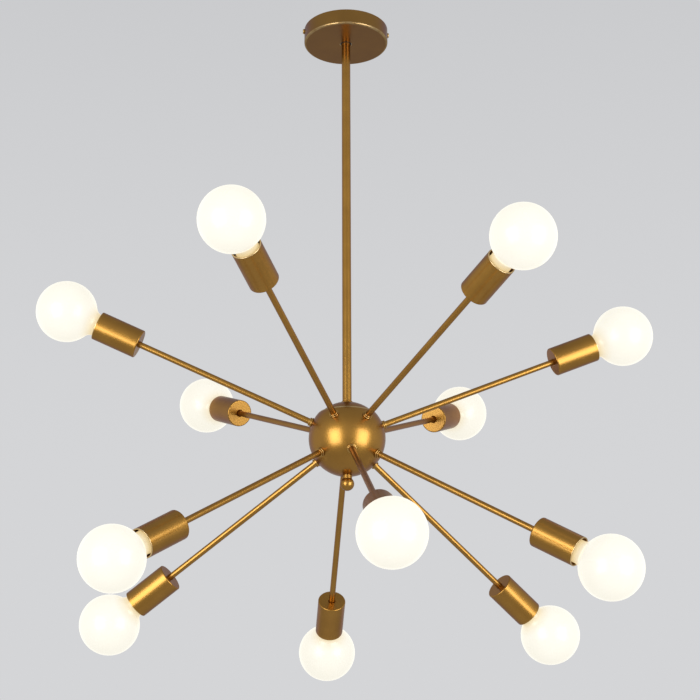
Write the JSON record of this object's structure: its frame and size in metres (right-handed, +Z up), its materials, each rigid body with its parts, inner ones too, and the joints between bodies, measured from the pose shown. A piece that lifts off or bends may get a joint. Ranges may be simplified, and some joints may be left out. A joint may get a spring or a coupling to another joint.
{
  "type": "sputnik chandelier",
  "caption": "Sputnik chandelier: brass tube arms with cylinder cups and lit opal globe bulbs round a ball hub on a rigid stem under a round canopy.",
  "frame": {"origin": "middle of the ceiling face, on the stem's axis, at the top of the crossbar and the canopy rim", "axes": "+Z up into the ceiling, along the stem; +X along the ceiling crossbar; -Y is the front"},
  "size_m": [0.8213, 0.7634, 0.8608],
  "materials": {
    "satin_brass": "satin brass plating under lacquer",
    "opal_glass": "lit opal white glass",
    "cap_metal": "pressed bright cap",
    "zinc_steel": "zinc plated",
    "porcelain": "glazed white porcelain",
    "contact_brass": "plain pressed brass",
    "lead_sleeve": "insulated wire sleeve"
  },
  "bodies": {
    "fixture": {"lampholder_bodies": "porcelain", "arm_tube_01": "satin_brass", "lamp_cup_01": "satin_brass", "arm_tube_02": "satin_brass", "lamp_cup_02": "satin_brass", "arm_tube_03": "satin_brass", "lamp_cup_03": "satin_brass", "arm_tube_04": "satin_brass", "lamp_cup_04": "satin_brass", "arm_tube_05": "satin_brass", "lamp_cup_05": "satin_brass", "arm_tube_06": "satin_brass", "lamp_cup_06": "satin_brass", "arm_tube_07": "satin_brass", "lamp_cup_07": "satin_brass", "arm_tube_08": "satin_brass", "lamp_cup_08": "satin_brass", "arm_tube_09": "satin_brass", "lamp_cup_09": "satin_brass", "arm_tube_10": "satin_brass", "lamp_cup_10": "satin_brass", "arm_tube_11": "satin_brass", "lamp_cup_11": "satin_brass", "arm_tube_12": "satin_brass", "lamp_cup_12": "satin_brass", "canopy": "satin_brass", "stem_tube": "satin_brass", "hub_ball": "satin_brass", "hub_lid": "satin_brass", "hub_finial": "satin_brass", "arm_lock_nuts": "satin_brass", "canopy_side_screws": "satin_brass", "ceiling_crossbar": "zinc_steel", "stem_fixings": "zinc_steel", "lampholder_contacts": "contact_brass", "lamp_leads": "lead_sleeve"},
    "bulb_01": {"bulb_globe_01": "opal_glass", "bulb_base_01": "cap_metal"},
    "bulb_02": {"bulb_globe_02": "opal_glass", "bulb_base_02": "cap_metal"},
    "bulb_03": {"bulb_globe_03": "opal_glass", "bulb_base_03": "cap_metal"},
    "bulb_04": {"bulb_globe_04": "opal_glass", "bulb_base_04": "cap_metal"},
    "bulb_05": {"bulb_globe_05": "opal_glass", "bulb_base_05": "cap_metal"},
    "bulb_06": {"bulb_globe_06": "opal_glass", "bulb_base_06": "cap_metal"},
    "bulb_07": {"bulb_globe_07": "opal_glass", "bulb_base_07": "cap_metal"},
    "bulb_08": {"bulb_globe_08": "opal_glass", "bulb_base_08": "cap_metal"},
    "bulb_09": {"bulb_globe_09": "opal_glass", "bulb_base_09": "cap_metal"},
    "bulb_10": {"bulb_globe_10": "opal_glass", "bulb_base_10": "cap_metal"},
    "bulb_11": {"bulb_globe_11": "opal_glass", "bulb_base_11": "cap_metal"},
    "bulb_12": {"bulb_globe_12": "opal_glass", "bulb_base_12": "cap_metal"}
  },
  "joints": [
    {"name": "bulb_draw_01", "type": "slide", "parent": "fixture", "child": "bulb_01", "axis": [-0.4151, -0.8254, 0.3827], "range_m": [0, 0.045]},
    {"name": "bulb_draw_02", "type": "slide", "parent": "fixture", "child": "bulb_02", "axis": [0.4296, -0.8253, 0.3665], "range_m": [0, 0.045]},
    {"name": "bulb_draw_03", "type": "slide", "parent": "fixture", "child": "bulb_03", "axis": [0.9245, -0.0113, 0.3811], "range_m": [0, 0.045]},
    {"name": "bulb_draw_04", "type": "slide", "parent": "fixture", "child": "bulb_04", "axis": [0.5013, 0.7868, 0.36], "range_m": [0, 0.045]},
    {"name": "bulb_draw_05", "type": "slide", "parent": "fixture", "child": "bulb_05", "axis": [-0.4342, 0.82, 0.373], "range_m": [0, 0.045]},
    {"name": "bulb_draw_06", "type": "slide", "parent": "fixture", "child": "bulb_06", "axis": [-0.9143, 0, 0.4051], "range_m": [0, 0.045]},
    {"name": "bulb_draw_07", "type": "slide", "parent": "fixture", "child": "bulb_07", "axis": [0.034, -0.8464, -0.5314], "range_m": [0, 0.045]},
    {"name": "bulb_draw_08", "type": "slide", "parent": "fixture", "child": "bulb_08", "axis": [0.734, -0.4428, -0.515], "range_m": [0, 0.045]},
    {"name": "bulb_draw_09", "type": "slide", "parent": "fixture", "child": "bulb_09", "axis": [0.7295, 0.4195, -0.5402], "range_m": [0, 0.045]},
    {"name": "bulb_draw_10", "type": "slide", "parent": "fixture", "child": "bulb_10", "axis": [0.0133, 0.8489, -0.5284], "range_m": [0, 0.045]},
    {"name": "bulb_draw_11", "type": "slide", "parent": "fixture", "child": "bulb_11", "axis": [-0.7447, 0.3959, -0.5373], "range_m": [0, 0.045]},
    {"name": "bulb_draw_12", "type": "slide", "parent": "fixture", "child": "bulb_12", "axis": [-0.7231, -0.4518, -0.5225], "range_m": [0, 0.045]}
  ]
}
